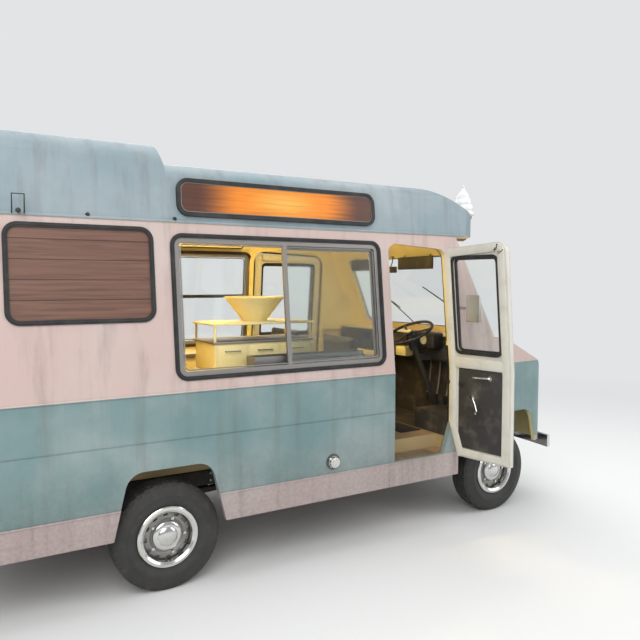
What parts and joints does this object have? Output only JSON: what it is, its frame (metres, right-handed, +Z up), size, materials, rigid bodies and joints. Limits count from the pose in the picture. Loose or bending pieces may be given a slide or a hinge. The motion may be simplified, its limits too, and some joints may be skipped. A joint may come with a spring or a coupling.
{
  "type": "ice-cream van",
  "caption": "Coach-built ice-cream van with serving window, raised rear roof, blank roof signs, open cab door and cone ornaments, on a light van chassis.",
  "frame": {"origin": "on the ground, in the middle of the footprint with the open right cab door counted in", "axes": "+X towards the front of the van, +Y to its left, +Z up"},
  "size_m": [4.645, 2.798, 2.69],
  "materials": {
    "lower_paint": "dusty satin duck-egg paint",
    "upper_paint": "dusty satin pale pink paint",
    "skirt_paint": "dusty satin pale pink paint",
    "roof_paint": "dusty satin duck-egg paint",
    "nose_paint": "dusty satin pale pink paint",
    "door_paint": "dusty satin pale pink paint, cream inside",
    "clear_glass": "clear window glass",
    "rubber_seal": "black rubber",
    "window_aluminium": "dull anodised aluminium",
    "brown_board": "brown wood-grain laminate",
    "sign_face": "lit amber plastic with wood-grain ends",
    "grille_metal": "bright plated bars",
    "lamp_chrome": "chrome",
    "amber_lamp": "amber lens",
    "red_lamp": "red lens",
    "bumper_chrome": "chrome",
    "chassis_black": "black chassis paint",
    "cast_engine": "oily cast iron",
    "rusty_exhaust": "rusted steel",
    "floor_cover": "tan floor covering",
    "cab_lining": "cream paint",
    "seat_metal": "black frame",
    "seat_cloth": "black leathercloth",
    "wheel_plastic": "black plastic",
    "mirror_chrome": "chrome head on a black arm",
    "cone_wafer": "painted glass fibre",
    "tyre_rubber": "tyre",
    "wheel_chrome": "chrome trim on a painted rim"
  },
  "bodies": {
    "body": {"side_right_lower": "lower_paint", "side_right_upper": "upper_paint", "side_left_lower": "lower_paint", "side_left_upper": "upper_paint", "rear_wall": "lower_paint", "skirts": "skirt_paint", "roof": "roof_paint", "cab_front": "upper_paint", "windscreen": "clear_glass", "nose": "nose_paint", "grille": "grille_metal", "headlamps": "lamp_chrome", "window_seals": "rubber_seal", "window_boards": "brown_board", "window_frames": "window_aluminium", "window_panes": "clear_glass", "sign_frames": "rubber_seal", "sign_panels": "sign_face", "chassis_frame": "chassis_black", "floor": "floor_cover", "bulkhead": "cab_lining", "engine": "cast_engine", "fuel_tank": "chassis_black", "fuel_cap": "lamp_chrome", "exhaust": "rusty_exhaust", "bumpers": "bumper_chrome", "tail_lamps": "red_lamp", "front_indicators": "amber_lamp", "rear_axle": "chassis_black", "front_axle": "chassis_black", "leaf_springs": "chassis_black", "dashboard": "cab_lining", "counters": "cab_lining", "serving_tray": "window_aluminium", "seat_frames": "seat_metal", "seat_cushions": "seat_cloth", "mirrors": "mirror_chrome", "cones": "cone_wafer"},
    "door_right": {"door_right": "door_paint", "door_glass_right": "clear_glass"},
    "door_left": {"door_left": "door_paint", "door_glass_left": "clear_glass"},
    "rear_door": {"rear_door": "door_paint", "rear_door_glass": "clear_glass"},
    "bonnet": {"bonnet": "nose_paint"},
    "steering_wheel": {"steering_wheel": "wheel_plastic"},
    "knuckle_right": {"knuckle_right": "chassis_black"},
    "knuckle_left": {"knuckle_left": "chassis_black"},
    "wheel_front_right": {"tyre_front_right": "tyre_rubber", "rim_front_right": "wheel_chrome"},
    "wheel_front_left": {"tyre_front_left": "tyre_rubber", "rim_front_left": "wheel_chrome"},
    "wheel_rear_right": {"tyre_rear_right": "tyre_rubber", "rim_rear_right": "wheel_chrome"},
    "wheel_rear_left": {"tyre_rear_left": "tyre_rubber", "rim_rear_left": "wheel_chrome"}
  },
  "joints": [
    {"name": "door_right_hinge", "type": "hinge", "parent": "body", "child": "door_right", "pos_m": [1.0705, -0.85498, 1.1], "axis": [0, 0, 1], "range_deg": [-100, 0]},
    {"name": "door_left_hinge", "type": "hinge", "parent": "body", "child": "door_left", "pos_m": [1.0705, 1.23302, 1.1], "axis": [0, 0, -1], "range_deg": [0, 80]},
    {"name": "rear_door_hinge", "type": "hinge", "parent": "body", "child": "rear_door", "pos_m": [-2.2425, 0.54602, 1.34], "axis": [0, 0, -1], "range_deg": [0, 100]},
    {"name": "bonnet_hinge", "type": "hinge", "parent": "body", "child": "bonnet", "pos_m": [1.75905, 0.18902, 1.35507], "axis": [0, -1, 0], "range_deg": [0, 50]},
    {"name": "steer_right", "type": "hinge", "parent": "body", "child": "knuckle_right", "pos_m": [1.6095, -0.57098, 0.325], "axis": [0, 0, 1], "range_deg": [-33, 33]},
    {"name": "steer_left", "type": "hinge", "parent": "body", "child": "knuckle_left", "pos_m": [1.6095, 0.94902, 0.325], "axis": [0, 0, 1], "range_deg": [-34, 34]},
    {"name": "steering_wheel_turn", "type": "hinge", "parent": "body", "child": "steering_wheel", "pos_m": [1.1175, -0.26098, 1.43], "axis": [-0.4226, 0, 0.9063], "range_deg": [-532, 532]},
    {"name": "wheel_front_right_spin", "type": "hinge", "parent": "knuckle_right", "child": "wheel_front_right", "pos_m": [1.6095, -0.68098, 0.325], "axis": [0, 1, 0], "continuous": true},
    {"name": "wheel_front_left_spin", "type": "hinge", "parent": "knuckle_left", "child": "wheel_front_left", "pos_m": [1.6095, 1.05902, 0.325], "axis": [0, 1, 0], "continuous": true},
    {"name": "wheel_rear_right_spin", "type": "hinge", "parent": "body", "child": "wheel_rear_right", "pos_m": [-1.0825, -0.68098, 0.325], "axis": [0, 1, 0], "continuous": true},
    {"name": "wheel_rear_left_spin", "type": "hinge", "parent": "body", "child": "wheel_rear_left", "pos_m": [-1.0825, 1.05902, 0.325], "axis": [0, 1, 0], "continuous": true}
  ],
  "couplings": [
    {"joint": "steer_left", "follows": "steer_right", "ratio": 1},
    {"joint": "steering_wheel_turn", "follows": "steer_right", "ratio": 16}
  ]
}
